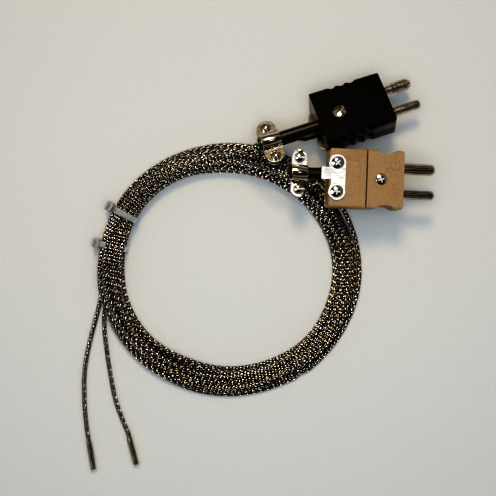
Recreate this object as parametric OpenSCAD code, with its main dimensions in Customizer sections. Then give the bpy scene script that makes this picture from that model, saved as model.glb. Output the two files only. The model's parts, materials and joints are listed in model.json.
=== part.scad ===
// Two thermocouples with braided leads, wound together into one tied coil.
// Each has a two-pin plug, a cable clamp, a lead and a closed-end probe sheath.
// Frame: +X along the plug pins, +Y across them, +Z up. The coil lies flat on z = 0.

/* [Plug body] */
// Length of the plug body along its pins
plug_l = 32; // [30:0.5:36]
// Width of the plug body
plug_w = 25; // [24:0.2:27]
// Thickness of the plug body, both halves together
plug_t = 12.2; // [11.5:0.1:13.5]
// Radius of the body corners seen from above
corner_r = 1.2; // [0.6:0.1:2]
// Radius of the long body edges
edge_r = 0.9; // [0.4:0.1:1.4]

/* [Pins] */
// Distance between the two pin axes
pin_pitch = 11.1; // [10.8:0.1:11.4]
// Radius of the positive pin
pos_pin_r = 2.0; // [1.8:0.05:2.1]
// Radius of the negative pin
neg_pin_r = 2.4; // [2.2:0.05:2.5]
// Length of the tan plug's pins outside the body
tan_pin_l = 14.6; // [13:0.1:16]
// Length of the black plug's pins outside the body
black_pin_l = 13.4; // [12:0.1:15]

/* [Lead] */
// Radius of the braided lead
lead_r = 1.1; // [0.9:0.05:1.3]
// Radius of the sleeve over the end of the lead
sleeve_r = 2.7; // [2.4:0.05:3]

/* [Coil] */
// Inner radius of the coil
coil_inner_r = 43.4; // [42:0.1:45]
// Outer radius of the coil
coil_outer_r = 57.8; // [56:0.1:59]
// Height of the coil
coil_h = 7.4; // [6:0.1:9]

/* [Cable ties] */
// Width of a cable tie's band
tie_w = 2.6; // [2:0.1:3.5]
// Thickness of a cable tie's band
tie_t = 1.0; // [0.8:0.1:1.2]

/* [Probe] */
// Radius of the probe sheath
sheath_r = 1.5875; // [1.5:0.0125:1.7]
// Length of the probe sheath
sheath_l = 13.4; // [12:0.1:20]

/* [Clamp] */
// Thickness of the bracket and saddle sheet metal
sheet = 0.8; // [0.6:0.05:1]
// How far a slackened clamp saddle lifts
clamp_lift = 2; // [1:0.5:2.5]

/* [Hidden] */

$fn = 40;
// Small overrun that keeps a cut's face clear of the face it cuts
cut = 0.01;
// Reach of a cut that has to pass wholly out of a small part
beyond = 10;

// Where each plug lies: yaw, pitch with the nose down, and roll
black_turn = [-21.5, 3, 18];
tan_turn = [-1.5, 4.3, -2.4];
half_w = plug_w / 2;
half_t = plug_t / 2;
black_rise = (half_t * cos(black_turn[0]) - half_w * sin(black_turn[0])) * cos(black_turn[1]);
black_at = [56.9, 75.5, black_rise];
tan_at = [62, 40.1, 17.7];

// Plug interior, measured back from the front face
pin_hold_x = -6.8;
// A pin is thinner inside the body, and its shoulder stands just off the face
pin_step = 0.4;
pin_shoulder_x = 0.3;
block_l = 8;
block_w = 5.4;
block_h = 4.6;
pocket_gap = 0.3;
head_room = 4.7;
wire_bay_x = -27;
wire_bay_w = 12.6;
wire_bay_h = 3.2;
fit = 0.03;
black_neck_r = 1.9;
black_neg_short = 0.6;
bore_gap = 0.08;

// Fasteners
cover_screw_r = 1.5;
// How far a cover screw's end stays inside the body
screw_end_gap = 1.5;
black_screw_x = -22;
black_head_r = 3.15;
black_head_h = 1.3;
tan_screw_x = -9.6;
tan_head_r = 2.5;
tan_head_h = 1.2;
boss_r = 2.5;
nut_r = 2.5;
nut_h = 2;
nut_skin = 0.8;
term_screw_r = 1.1;
term_head_r = 1.9;
term_head_h = 1.3;
m_screw_r = 1.2;
m_head_r = 2.6;
m_head_h = 1.5;
m_screw_l = 5;
clamp_head_r = 2.2;
dome_share = 0.45;

// Tan cover split and markings
split_x = -16;
split_gap = 0.6;
grip_x = -7.6;
grip_l = 8.5;
grip_d = 1.5;
tooth = 0.7;
tooth_turn = 7.4;
grip_teeth = 4;
scallop_x = -21.4;
scallop_pitch = 4.35;
scallop_r = 2.5;
scallop_d = 1.15;
mark_r = 2.3;
mark_d = 0.25;
mark_line = 0.35;
mark_bar_l = 2.6;

// Brackets and clamps, in the plug's own frame
bracket_y = 6.1;
lobe_r = 3.7;
arm_w = 5.4;
black_bracket_x = -30.4;
tan_bracket_x = -28.8;
black_clamp_x = -54;
tan_clamp_x = -44.2;
black_clamp_y = -0.8;
tan_clamp_y = 1.6;
tan_leg_x = -34.9;
leg_hole_r = 1.75;
black_clamp_w = 8.8;
black_ear_y = 7.2;
black_ear_r = 3.1;
tan_clamp_w = 6.8;
tan_ear_y = 6.8;
tan_ear_r = 3.4;
ear_top = -0.4;
base_top = -sleeve_r;
black_sleeve_x = [-59.4, -28.8];
tan_sleeve_x = [-48.4, tan_leg_x - sheet - 0.05];

// Insulated wires
wire_r = 0.62;

// Coil and ties
coil_at = [-12.5, 1.1, 0];
coil_split = coil_h / 2;
coil_round = 1.6;
upper_tie_angle = 151.5;
lower_tie_angle = 168;
// Inner and outer radius of each tie's loop, and its height
upper_tie_loop = [46.4, 57.5, 9];
lower_tie_loop = [46, 58.9, 5.3];
tie_head = [3, 4.2, 4.4];
tie_corner = 1.5;
tie_gap = 0.04;
// How far a tie's head reaches into its band
tie_head_in = 0.1;

// Probe sheaths: cable end and heading
black_probe_at = [-75.4, -75, sheath_r];
black_probe_yaw = -80.2;
tan_probe_at = [-57.3, -73, sheath_r];
tan_probe_yaw = -75.4;
crimp_l = 0.9;
crimp_r = 1.4;
bore_r = 1.2;
bore_end = 12.2;
cable_gap = 0.05;
bead_r = 0.5;
bead_x = 11.2;
bare_wire_r = 0.2;
bare_wire_y = 0.35;
fill_x = 4;
fill_gap = 0.02;
// How much narrower than the lead the crimped neck is, and where the wide bore behind it starts
crimp_grip = 0.1;
bore_start = 1.9;

// Routes of the free stretches of the leads, on their centrelines
tube_sides = 8;
// Length of a lead that stays straight where it leaves a sleeve or enters a sheath
straight = 2.5;
black_start_route = [
    [-2.5, 54.8, 13], [-7, 53.2, 11.4], [-12, 52.2, 9.9], [-17, 51.8, 8.9], [-22, 50.8, 8.5]
];
black_tail_route = [
    [-69.8, -9.5, 1.6], [-70.8, -14.5, 1.2], [-72.9, -22.3, 1.1], [-75.5, -32.6, 1.1], [-77.3, -42.9, 1.1],
    [-77.6, -53.2, 1.1], [-77.2, -61.8, 1.2], [-76.3, -69.8, 1.4]
];
tan_start_route = [
    [9.5, 43.8, 20.2], [5, 45.4, 17.6], [0, 47.4, 14], [-5, 49, 10.9], [-10, 49.8, 9], [-15, 49.6, 8.5]
];
tan_tail_route = [
    [-67.6, -13, 1.4], [-68.6, -20, 1.1], [-68.3, -27.2, 1.1], [-67, -37.5, 1.1], [-65.5, -46.9, 1.1],
    [-63.5, -56.8, 1.1], [-60.9, -64.2, 1.2], [-59, -68.8, 1.4]
];

black_col = [0.05, 0.05, 0.06];
tan_col = [0.72, 0.52, 0.32];
nickel_col = [0.8, 0.79, 0.76];
brass_col = [0.82, 0.68, 0.36];
braid_col = [0.5, 0.48, 0.45];
steel_col = [0.72, 0.72, 0.72];
nylon_col = [0.62, 0.62, 0.58];

// ---------- Helpers ----------

// Rotation of a vector by the same turns that rotate() applies
function turned(v, a) =
    let (
        x = [v[0], v[1] * cos(a[0]) - v[2] * sin(a[0]), v[1] * sin(a[0]) + v[2] * cos(a[0])],
        y = [x[0] * cos(a[1]) + x[2] * sin(a[1]), x[1], x[2] * cos(a[1]) - x[0] * sin(a[1])]
    )
    [y[0] * cos(a[2]) - y[1] * sin(a[2]), y[0] * sin(a[2]) + y[1] * cos(a[2]), y[2]];

function unit(v) = v / norm(v);

// Direction of a route at point i
function heading(p, i) = unit(p[min(i + 1, len(p) - 1)] - p[max(i - 1, 0)]);

// Closed tube swept along a route
module tube(p, r) {
    n = len(p);
    ring = [for (i = [0 : n - 1])
        let (t = heading(p, i), side = unit(cross([0, 0, 1], t)), up = cross(t, side))
        for (k = [0 : tube_sides - 1])
            let (a = 360 * (k + 0.5) / tube_sides)
            p[i] + r * (cos(a) * side + sin(a) * up)];
    walls = [for (i = [0 : n - 2], k = [0 : tube_sides - 1])
        let (m = (k + 1) % tube_sides, b = i * tube_sides)
        [b + k, b + k + tube_sides, b + m + tube_sides, b + m]];
    start = [for (k = [0 : tube_sides - 1]) k];
    finish = [for (k = [0 : tube_sides - 1]) n * tube_sides - 1 - k];
    polyhedron(points = ring, faces = concat([start, finish], walls));
}

module at_black() {
    translate(black_at) rotate([0, 0, black_turn[2]]) rotate([0, black_turn[1], 0])
        rotate([black_turn[0], 0, 0]) children();
}

module at_tan() {
    translate(tan_at) rotate([0, 0, tan_turn[2]]) rotate([0, tan_turn[1], 0])
        rotate([tan_turn[0], 0, 0]) children();
}

// Cylinder along +X from x = a to x = b
module rod(a, b, r) {
    translate([a, 0, 0]) rotate([0, 90, 0]) cylinder(h = b - a, r = r);
}

module box(x, y, z) {
    translate([x[0], y[0], z[0]]) cube([x[1] - x[0], y[1] - y[0], z[1] - z[0]]);
}

// ---------- Plug bodies ----------

// Rectangle of the body seen from above, with round corners
module body_plan() {
    for (x = [-plug_l + corner_r, -corner_r], y = [-half_w + corner_r, half_w - corner_r])
        translate([x, y]) circle(r = corner_r);
    translate([-plug_l + corner_r, -half_w]) square([plug_l - 2 * corner_r, plug_w]);
    translate([-plug_l, -half_w + corner_r]) square([plug_l, plug_w - 2 * corner_r]);
}

// Three shallow scallops along each side
module scallop_plan() {
    difference() {
        body_plan();
        for (side = [-1, 1], i = [0 : 2])
            translate([scallop_x + scallop_pitch * i, side * (half_w + scallop_r - scallop_d)])
                circle(r = scallop_r);
    }
}

// A hollow, toothed thumb grip on each side
module grip_plan() {
    grip_r = (pow(grip_l / 2, 2) + pow(grip_d, 2)) / (2 * grip_d);
    difference() {
        body_plan();
        for (side = [-1, 1])
            translate([grip_x, side * (half_w + grip_r - grip_d)]) {
                circle(r = grip_r);
                for (i = [-grip_teeth : grip_teeth])
                    rotate(-side * 90 + i * tooth_turn) translate([grip_r, 0]) rotate(45)
                        square(tooth / sqrt(2), center = true);
            }
    }
}

// Cross-section of the body seen from the front, with round long edges
module body_section() {
    for (y = [-half_w + edge_r, half_w - edge_r], z = [-half_t + edge_r, half_t - edge_r])
        translate([y, z]) circle(r = edge_r);
    translate([-half_w + edge_r, -half_t]) square([plug_w - 2 * edge_r, plug_t]);
    translate([-half_w, -half_t + edge_r]) square([plug_w, plug_t - 2 * edge_r]);
}

// Solid part of a body between two heights and two places along it
module body_block(x, z) {
    intersection() {
        translate([0, 0, z[0]]) linear_extrude(z[1] - z[0]) children();
        rotate([90, 0, 90]) translate([0, 0, -plug_l - 1]) linear_extrude(plug_l + 2) body_section();
        box(x, [-plug_w, plug_w], [z[0] - 1, z[1] + 1]);
    }
}

// Space inside a plug: pin channels, terminal pockets, wire bay and lead entry
module plug_cavity(neg_hold_r, entry_y) {
    for (side = [-1, 1]) {
        r = side > 0 ? neg_hold_r : pos_pin_r - pin_step;
        translate([0, side * pin_pitch / 2, 0]) {
            rod(pin_hold_x - cut, 1, r + fit);
            box([pin_hold_x - block_l - 2 * pocket_gap, pin_hold_x + fit],
                [-block_w / 2 - pocket_gap, block_w / 2 + pocket_gap],
                [-block_h / 2 - pocket_gap, head_room]);
        }
    }
    box([wire_bay_x, pin_hold_x - block_l - pocket_gap], [-wire_bay_w / 2, wire_bay_w / 2],
        [-wire_bay_h / 2, wire_bay_h / 2]);
    translate([0, entry_y, 0]) rod(-plug_l - 1, wire_bay_x + cut, sleeve_r + fit);
}

// Counterbored hole for a cover screw, and the pocket for its nut underneath
module screw_hole(x, head_r, head_h) {
    translate([x, 0, 0]) {
        translate([0, 0, half_t - head_h]) cylinder(h = head_h + 1, r = head_r + bore_gap);
        translate([0, 0, -half_t - 1]) cylinder(h = plug_t + 2, r = cover_screw_r + bore_gap);
        translate([0, 0, -half_t + nut_skin]) rotate(30)
            cylinder(h = nut_h + 2 * fit, r = nut_r + fit, $fn = 6);
    }
}

// Blind holes for the two bracket screws, from one face inwards
module bracket_holes(x, face) {
    for (side = [-1, 1])
        translate([x, side * bracket_y, face > 0 ? -half_t + 2 : -half_t - 1])
            cylinder(h = face > 0 ? plug_t : half_t - 0.5, r = m_screw_r + bore_gap);
}

module black_body(z) {
    difference() {
        body_block([-plug_l - 1, 1], z) scallop_plan();
        difference() {
            plug_cavity(black_neck_r, black_clamp_y);
            translate([black_screw_x, 0, -half_t]) cylinder(h = plug_t, r = boss_r);
        }
        screw_hole(black_screw_x, black_head_r, black_head_h);
        bracket_holes(black_bracket_x, -1);
    }
}

module black_base() {
    color(black_col) at_black() black_body([-half_t, 0]);
}

module black_cover() {
    color(black_col) at_black() black_body([0, half_t]);
}

module tan_body(x, z) {
    difference() {
        body_block(x, z) grip_plan();
        plug_cavity(neg_pin_r - pin_step, tan_clamp_y / 2);
        screw_hole(tan_screw_x, tan_head_r, tan_head_h);
        bracket_holes(tan_bracket_x, 1);
    }
}

// Sunk ring round a polarity mark
module mark_ring(x, y) {
    translate([x, y, half_t - mark_d]) difference() {
        cylinder(h = 1, r = mark_r);
        translate([0, 0, -1]) cylinder(h = 3, r = mark_r - mark_line);
    }
}

// Sunk bar of a polarity mark
module mark_bar(x, y, length, width) {
    translate([x, y, half_t - mark_d + 0.5]) cube([length, width, 1], center = true);
}

module tan_base() {
    color(tan_col) at_tan() tan_body([-plug_l - 1, 1], [-half_t, 0]);
}

module tan_front_cover() {
    mark_x = -4;
    mark_y = 6.2;
    color(tan_col) at_tan() difference() {
        tan_body([split_x + split_gap / 2, 1], [0, half_t]);
        for (y = [-mark_y, 0, mark_y])
            mark_ring(mark_x, y);
        mark_bar(mark_x, mark_y, mark_line, mark_bar_l);
        mark_bar(mark_x, -mark_y, mark_line, mark_bar_l);
        mark_bar(mark_x, -mark_y, mark_bar_l, mark_line);
    }
}

// The rear cap has a sunk outline with a round front edge, for a label
module tan_rear_cap() {
    window_x = -18.8;
    window_half = 7.6;
    window_round = 3;
    color(tan_col) at_tan() difference() {
        tan_body([-plug_l - 1, split_x - split_gap / 2], [0, half_t]);
        translate([0, 0, half_t - mark_d]) linear_extrude(1) difference() {
            window_plan(window_x, window_half, window_round);
            window_plan(window_x - mark_line, window_half - mark_line, window_round - mark_line);
        }
    }
}

module window_plan(x, half, r) {
    back = -25;
    for (side = [-1, 1])
        translate([x - r, side * (half - r)]) circle(r = r);
    translate([x - r, -half + r]) square([r, 2 * (half - r)]);
    translate([back, -half]) square([x - r - back, 2 * half]);
}

// ---------- Pins, terminals and fasteners ----------

// Half profile of a plain pin with a round nose
module pin_profile(length, r) {
    nose = r * 0.75;
    translate([0, pin_hold_x - cut]) square([r - pin_step, pin_shoulder_x - pin_hold_x + 2 * cut]);
    translate([0, pin_shoulder_x]) square([r, length - nose - pin_shoulder_x]);
    translate([0, length - nose]) square([r - nose, nose]);
    intersection() {
        translate([r - nose, length - nose]) circle(r = nose);
        translate([0, length - nose]) square([r, nose]);
    }
}

// Half profile of the black plug's negative pin, with a thin neck and a collar
module necked_profile(length, r) {
    neck_r = black_neck_r;
    collar = 5.4;
    collar_l = 0.8;
    collar_r = r - 0.15;
    slope = 0.3;
    groove_end = collar + 0.8;
    chamfer = [1.6, 1.1];
    polygon([
        [0, pin_hold_x - cut], [neck_r, pin_hold_x - cut], [neck_r, collar - collar_l - slope],
        [collar_r, collar - collar_l], [collar_r, collar], [neck_r, collar + slope], [neck_r, groove_end],
        [r, groove_end + slope], [r, length - chamfer[0]], [r - chamfer[1], length], [0, length]
    ]);
}

module turned_pin(side) {
    translate([0, side * pin_pitch / 2, 0]) {
        rotate([0, 90, 0]) rotate_extrude() children();
        difference() {
            box([pin_hold_x - block_l, pin_hold_x], [-block_w / 2, block_w / 2],
                [-block_h / 2, block_h / 2]);
            translate([pin_hold_x - block_l / 2, 0, -block_h])
                cylinder(h = 2 * block_h, r = term_screw_r + fit);
        }
    }
}

module black_pos_pin() {
    color(nickel_col) at_black() turned_pin(-1) pin_profile(black_pin_l, pos_pin_r);
}

module black_neg_pin() {
    color(nickel_col) at_black() turned_pin(1) necked_profile(black_pin_l - black_neg_short, neg_pin_r);
}

module tan_pos_pin() {
    color(nickel_col) at_tan() turned_pin(-1) pin_profile(tan_pin_l, pos_pin_r);
}

module tan_neg_pin() {
    color(nickel_col) at_tan() turned_pin(1) pin_profile(tan_pin_l, neg_pin_r);
}

// Head standing on z = 0, domed so that its rim is lower than its middle by rim_drop
module screw_head(head_r, head_h) {
    rim_drop = head_h * dome_share;
    dome_r = (head_r * head_r + rim_drop * rim_drop) / (2 * rim_drop);
    intersection() {
        cylinder(h = head_h, r = head_r);
        translate([0, 0, head_h - dome_r]) sphere(r = dome_r);
    }
}

// Slotted screw
module slotted_screw(head_r, head_h, shank_r, shank_l) {
    slot_w = head_r * 0.3;
    slot_d = head_h * 0.5;
    difference() {
        screw_head(head_r, head_h);
        translate([0, 0, head_h]) cube([2 * head_r + 1, slot_w, 2 * slot_d], center = true);
    }
    translate([0, 0, -shank_l]) cylinder(h = shank_l + cut, r = shank_r);
}

// Cross-recessed screw
module cross_screw(head_r, head_h, shank_r, shank_l) {
    arm = head_r * 1.1;
    arm_width = head_r * 0.28;
    recess = head_h * 0.6;
    difference() {
        screw_head(head_r, head_h);
        for (a = [0, 90])
            rotate(a) translate([0, 0, head_h]) cube([arm, arm_width, 2 * recess], center = true);
    }
    translate([0, 0, -shank_l]) cylinder(h = shank_l + cut, r = shank_r);
}

module terminal_screws() {
    x = pin_hold_x - block_l / 2;
    for (side = [-1, 1])
        translate([x, side * pin_pitch / 2, block_h / 2])
            slotted_screw(term_head_r, term_head_h, term_screw_r, block_h - cut);
}

module black_terminal_screws() {
    color(brass_col) at_black() terminal_screws();
}

module tan_terminal_screws() {
    color(brass_col) at_tan() terminal_screws();
}

module black_cover_screw() {
    color(nickel_col) at_black() translate([black_screw_x, 0, half_t - black_head_h]) rotate(27)
        slotted_screw(black_head_r, black_head_h, cover_screw_r, plug_t - black_head_h - screw_end_gap);
}

module tan_cover_screw() {
    color(nickel_col) at_tan() translate([tan_screw_x, 0, half_t - tan_head_h]) rotate(20)
        cross_screw(tan_head_r, tan_head_h, cover_screw_r, plug_t - tan_head_h - screw_end_gap);
}

module cover_nut(x) {
    translate([x, 0, -half_t + nut_skin + fit]) difference() {
        rotate(30) cylinder(h = nut_h, r = nut_r, $fn = 6);
        translate([0, 0, -1]) cylinder(h = nut_h + 2, r = cover_screw_r + fit);
    }
}

module black_cover_nut() {
    color(brass_col) at_black() cover_nut(black_screw_x);
}

module tan_cover_nut() {
    color(brass_col) at_tan() cover_nut(tan_screw_x);
}

// ---------- Brackets and clamps ----------

// Plate under the bracket screws: two round lobes joined by a web
module bracket_plan(x) {
    web = 3.2;
    difference() {
        union() {
            for (side = [-1, 1])
                translate([x, side * bracket_y]) circle(r = lobe_r);
            translate([x - web + 0.4, -bracket_y]) square([2 * web, 2 * bracket_y]);
        }
        for (side = [-1, 1])
            translate([x, side * bracket_y]) circle(r = m_screw_r + bore_gap);
    }
}

// Plan of a clamp's lower plate or saddle: a strap with half-round ends, ear_r beyond its holes
module ear_plan(strap_w, ear_y, ear_r, hole_r) {
    end_y = ear_y + ear_r - strap_w / 2;
    difference() {
        union() {
            for (side = [-1, 1])
                translate([0, side * end_y]) circle(r = strap_w / 2);
            square([strap_w, 2 * end_y], center = true);
        }
        for (side = [-1, 1])
            translate([0, side * ear_y]) circle(r = hole_r);
    }
}

// Black bracket: plate under the body, arm stepping up to the clamp's lower plate
module black_bracket() {
    low = -half_t - sheet;
    step_a = -38.5;
    step_b = -42.5;
    high = base_top - sheet;
    color(nickel_col) at_black() {
        translate([0, 0, low]) linear_extrude(sheet) bracket_plan(black_bracket_x);
        translate([0, arm_w / 2 + black_clamp_y / 2, 0]) rotate([90, 0, 0]) linear_extrude(arm_w) polygon([
            [black_bracket_x, low], [black_bracket_x, low + sheet], [step_a, low + sheet],
            [step_b, high + sheet], [black_clamp_x, high + sheet], [black_clamp_x, high],
            [step_b - 0.2, high], [step_a - 0.2, low]
        ]);
        translate([black_clamp_x, black_clamp_y, high]) linear_extrude(sheet)
            ear_plan(black_clamp_w, black_ear_y, black_ear_r, m_screw_r + bore_gap / 2);
    }
}

// Tan bracket: plate on the body, arm, a leg pierced for the wires, and the clamp's lower plate
module tan_bracket() {
    top = half_t + sheet;
    bottom = base_top - sheet;
    color(nickel_col) at_tan() {
        translate([0, 0, half_t]) linear_extrude(sheet) bracket_plan(tan_bracket_x);
        difference() {
            translate([0, arm_w / 2 + tan_clamp_y, 0]) rotate([90, 0, 0]) linear_extrude(arm_w) polygon([
                [tan_bracket_x - 2, half_t], [tan_bracket_x - 2, top], [tan_leg_x - sheet, top],
                [tan_leg_x - sheet, base_top], [tan_clamp_x, base_top], [tan_clamp_x, bottom],
                [tan_leg_x, bottom], [tan_leg_x, half_t]
            ]);
            translate([0, tan_clamp_y, 0]) rod(tan_leg_x - sheet - 1, tan_leg_x + 1, leg_hole_r);
        }
        translate([tan_clamp_x, tan_clamp_y, bottom]) linear_extrude(sheet)
            ear_plan(tan_clamp_w, tan_ear_y, tan_ear_r, m_screw_r + bore_gap / 2);
    }
}

module black_bracket_screws() {
    color(nickel_col) at_black()
        for (side = [-1, 1])
            translate([black_bracket_x, side * bracket_y, -half_t - sheet]) rotate([180, 0, 0])
                cross_screw(m_head_r, m_head_h, m_screw_r, m_screw_l);
}

module tan_bracket_screws() {
    color(nickel_col) at_tan()
        for (side = [-1, 1])
            translate([tan_bracket_x, side * bracket_y, half_t + sheet]) rotate(20 + 25 * side)
                cross_screw(m_head_r, m_head_h, m_screw_r, plug_t - 2);
}

// Saddle bent over the sleeve, straight-sided below its middle, with a flat ear on each side
module saddle(strap_w, ear_y, ear_r) {
    in_r = sleeve_r + 0.05;
    out_r = in_r + sheet;
    reach = ear_y + ear_r + 1;
    intersection() {
        rotate([90, 0, 90]) linear_extrude(strap_w, center = true) difference() {
            union() {
                circle(r = out_r);
                translate([-out_r, ear_top - sheet]) square([2 * out_r, sheet - ear_top]);
                translate([-reach, ear_top - sheet]) square([2 * reach, sheet]);
            }
            circle(r = in_r);
            translate([-in_r, -beyond]) square([2 * in_r, beyond]);
            translate([-reach, ear_top - sheet - beyond]) square([2 * reach, beyond]);
        }
        translate([0, 0, -beyond]) linear_extrude(2 * beyond)
            ear_plan(strap_w, ear_y, ear_r, m_screw_r + bore_gap);
    }
}

module clamp_screws(ear_y, turn) {
    for (side = [-1, 1])
        translate([0, side * ear_y, ear_top]) rotate(turn)
            slotted_screw(clamp_head_r, m_head_h, m_screw_r, m_screw_l);
}

module black_clamp_saddle() {
    color(nickel_col) at_black() translate([black_clamp_x, black_clamp_y, 0])
        saddle(black_clamp_w, black_ear_y, black_ear_r);
}

module black_clamp_screws() {
    color(nickel_col) at_black() translate([black_clamp_x, black_clamp_y, 0]) clamp_screws(black_ear_y, 40);
}

module tan_clamp_saddle() {
    color(nickel_col) at_tan() translate([tan_clamp_x, tan_clamp_y, 0])
        saddle(tan_clamp_w, tan_ear_y, tan_ear_r);
}

module tan_clamp_screws() {
    color(nickel_col) at_tan() translate([tan_clamp_x, tan_clamp_y, 0]) clamp_screws(tan_ear_y, 4);
}

// ---------- Sleeves and wires ----------

module sleeve(x, y) {
    translate([0, y, 0]) difference() {
        rod(x[0], x[1], sleeve_r);
        rod(x[0] - 1, x[1] + 1, 2 * wire_r + 0.1);
    }
}

module black_sleeve() {
    color(black_col) at_black() sleeve(black_sleeve_x, black_clamp_y);
}

module tan_sleeve() {
    color(black_col) at_tan() sleeve(tan_sleeve_x, tan_clamp_y);
}

// Wire from the end of the lead to its terminal, past the boss in the middle of the body
module inner_wire(start_x, lead_y, entry_y, side, boss_clear) {
    terminal_y = side * pin_pitch / 2;
    tube([
        [start_x, lead_y + side * wire_r, 0],
        [tan_leg_x, lead_y + side * wire_r, 0],
        [-29.5, entry_y + side * wire_r, 0],
        [-27, entry_y + side * (wire_r + 0.2), 0],
        [-24.5, side * boss_clear, 0],
        [-20, side * boss_clear, 0],
        [-17.5, side * (boss_clear + 1), 0],
        [-16.2, terminal_y, 0],
        [pin_hold_x - block_l - fit, terminal_y, 0]
    ], wire_r);
}

module black_pos_wire() {
    color("white") at_black() inner_wire(black_sleeve_x[0], black_clamp_y, black_clamp_y, -1, boss_r + 1.2);
}

module black_neg_wire() {
    color("red") at_black() inner_wire(black_sleeve_x[0], black_clamp_y, black_clamp_y, 1, boss_r + 1.2);
}

module tan_pos_wire() {
    color("white") at_tan() inner_wire(tan_sleeve_x[0], tan_clamp_y, tan_clamp_y / 2, -1, 2.6);
}

module tan_neg_wire() {
    color("red") at_tan() inner_wire(tan_sleeve_x[0], tan_clamp_y, tan_clamp_y / 2, 1, 2.6);
}

// ---------- Leads ----------

// Where a lead leaves its sleeve, and a point straight out from there
function black_out(d) = black_at + turned([black_sleeve_x[0] - d, black_clamp_y, 0], black_turn);
function tan_out(d) = tan_at + turned([tan_sleeve_x[0] - d, tan_clamp_y, 0], tan_turn);

// Where a lead meets its sheath, and a point straight back from there
function probe_in(at, yaw, d) = at - d * [cos(yaw), sin(yaw), 0];

module black_lead_start() {
    color(braid_col) tube(concat([black_out(0), black_out(straight)], black_start_route), lead_r);
}

module tan_lead_start() {
    color(braid_col) tube(concat([tan_out(0), tan_out(straight)], tan_start_route), lead_r);
}

module black_lead_tail() {
    color(braid_col) tube(concat(black_tail_route, [
        probe_in(black_probe_at, black_probe_yaw, straight),
        probe_in(black_probe_at, black_probe_yaw, 0)
    ]), lead_r);
}

module tan_lead_tail() {
    color(braid_col) tube(concat(tan_tail_route, [
        probe_in(tan_probe_at, tan_probe_yaw, straight),
        probe_in(tan_probe_at, tan_probe_yaw, 0)
    ]), lead_r);
}

// Half of the coil's cross-section, between two heights
module coil_section(z) {
    intersection() {
        union() {
            for (r = [coil_inner_r + coil_round, coil_outer_r - coil_round],
                    h = [coil_round, coil_h - coil_round])
                translate([r, h]) circle(r = coil_round);
            translate([coil_inner_r + coil_round, 0])
                square([coil_outer_r - coil_inner_r - 2 * coil_round, coil_h]);
            translate([coil_inner_r, coil_round])
                square([coil_outer_r - coil_inner_r, coil_h - 2 * coil_round]);
        }
        translate([0, z[0]]) square([2 * coil_outer_r, z[1] - z[0]]);
    }
}

module coil(z) {
    translate(coil_at) difference() {
        rotate_extrude($fn = 96) coil_section(z);
        for (tie = [[upper_tie_angle, upper_tie_loop], [lower_tie_angle, lower_tie_loop]])
            rotate(tie[0]) {
                tie_band(tie[1], tie_gap);
                tie_block(tie[1], tie_gap);
            }
    }
}

module lower_coil() {
    color(braid_col) coil([0, coil_split]);
}

module upper_coil() {
    color(braid_col) coil([coil_split, coil_h]);
}

// ---------- Cable ties ----------

// Rounded rectangle round the bundle, inset by d
module tie_outline(loop, d) {
    r = tie_corner;
    x = [loop[0] + d, loop[1] - d];
    y = [d, loop[2] - d];
    for (px = [x[0] + r, x[1] - r], py = [y[0] + r, y[1] - r])
        translate([px, py]) circle(r = r);
    translate([x[0] + r, y[0]]) square([x[1] - x[0] - 2 * r, y[1] - y[0]]);
    translate([x[0], y[0] + r]) square([x[1] - x[0], y[1] - y[0] - 2 * r]);
}

// Loop of a tie; grow makes it the slightly larger space that it sits in
module tie_band(loop, grow) {
    rotate([90, 0, 0]) linear_extrude(tie_w + 2 * grow, center = true) difference() {
        union() {
            tie_outline(loop, -grow);
            if (grow > 0)
                translate([loop[0] - grow, -tie_corner])
                    square([loop[1] - loop[0] + 2 * grow, 2 * tie_corner]);
        }
        tie_outline(loop, tie_t + grow);
    }
}

// Locking head on the outer side of the bundle
module tie_block(loop, grow) {
    translate([loop[1] + tie_head[0] / 2 - tie_head_in, 0, loop[2] / 2])
        cube([tie_head[0] + 2 * grow, tie_head[1] + 2 * grow, tie_head[2] + 2 * grow], center = true);
}

module tie(angle, loop) {
    translate(coil_at) rotate(angle) {
        tie_band(loop, 0);
        tie_block(loop, 0);
    }
}

module upper_tie() {
    color(nylon_col) tie(upper_tie_angle, upper_tie_loop);
}

module lower_tie() {
    color(nylon_col) tie(lower_tie_angle, lower_tie_loop);
}

// ---------- Probes ----------

module at_black_probe() {
    translate(black_probe_at) rotate(black_probe_yaw) children();
}

module at_tan_probe() {
    translate(tan_probe_at) rotate(tan_probe_yaw) children();
}

// Closed tube with a crimped neck at the lead and a round nose
module sheath() {
    nose = 1.2;
    rotate([0, 90, 0]) rotate_extrude() difference() {
        union() {
            square([crimp_r, crimp_l]);
            translate([0, crimp_l]) square([sheath_r, sheath_l - nose - crimp_l]);
            translate([0, sheath_l - nose]) square([sheath_r - nose, nose]);
            intersection() {
                translate([sheath_r - nose, sheath_l - nose]) circle(r = nose);
                translate([0, sheath_l - nose]) square([sheath_r, nose]);
            }
        }
        translate([-beyond, -beyond]) square([beyond + lead_r - crimp_grip, beyond + bore_start + cut]);
        translate([-beyond, bore_start]) square([beyond + bore_r, bore_end - bore_start]);
    }
}

module black_sheath() {
    color(steel_col) at_black_probe() sheath();
}

module tan_sheath() {
    color(steel_col) at_tan_probe() sheath();
}

// Welded bead with its two bare wires
module junction() {
    translate([bead_x, 0, 0]) sphere(r = bead_r);
    for (side = [-1, 1])
        translate([0, side * bare_wire_y, 0]) rod(cable_gap, bead_x, bare_wire_r);
}

module black_junction() {
    color(steel_col) at_black_probe() junction();
}

module tan_junction() {
    color(steel_col) at_tan_probe() junction();
}

// Packed insulation round the junction
module fill() {
    difference() {
        rod(fill_x, bore_end - fill_gap, bore_r - fill_gap);
        translate([bead_x, 0, 0]) sphere(r = bead_r + cut);
        for (side = [-1, 1])
            translate([0, side * bare_wire_y, 0]) rod(fill_x - 1, bead_x, bare_wire_r + cut);
    }
}

module black_fill() {
    color("ivory") at_black_probe() fill();
}

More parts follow.
